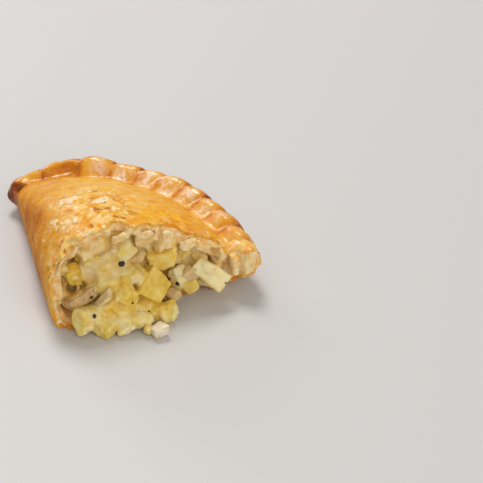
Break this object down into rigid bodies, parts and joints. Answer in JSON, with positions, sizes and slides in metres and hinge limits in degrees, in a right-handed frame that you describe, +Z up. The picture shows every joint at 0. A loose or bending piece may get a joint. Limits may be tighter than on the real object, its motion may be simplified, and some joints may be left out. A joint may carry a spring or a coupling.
{
  "type": "cornish pasty",
  "caption": "Half of a side-crimped pasty: a baked shortcrust case with a rope crimp, broken across, with diced potato filling spilling out.",
  "frame": {"origin": "middle of the bounding box, on the plane it rests on", "axes": "+X from the knob at the tip towards the broken end, +Y from the folded side towards the crimp, +Z up"},
  "size_m": [0.1186, 0.089, 0.0418],
  "materials": {
    "crust": "golden baked crust under a thin glossy egg glaze",
    "filling": "moist cooked potato and onion in a pale sauce"
  },
  "bodies": {
    "root": {"case": "crust", "filling": "filling"}
  },
  "joints": []
}
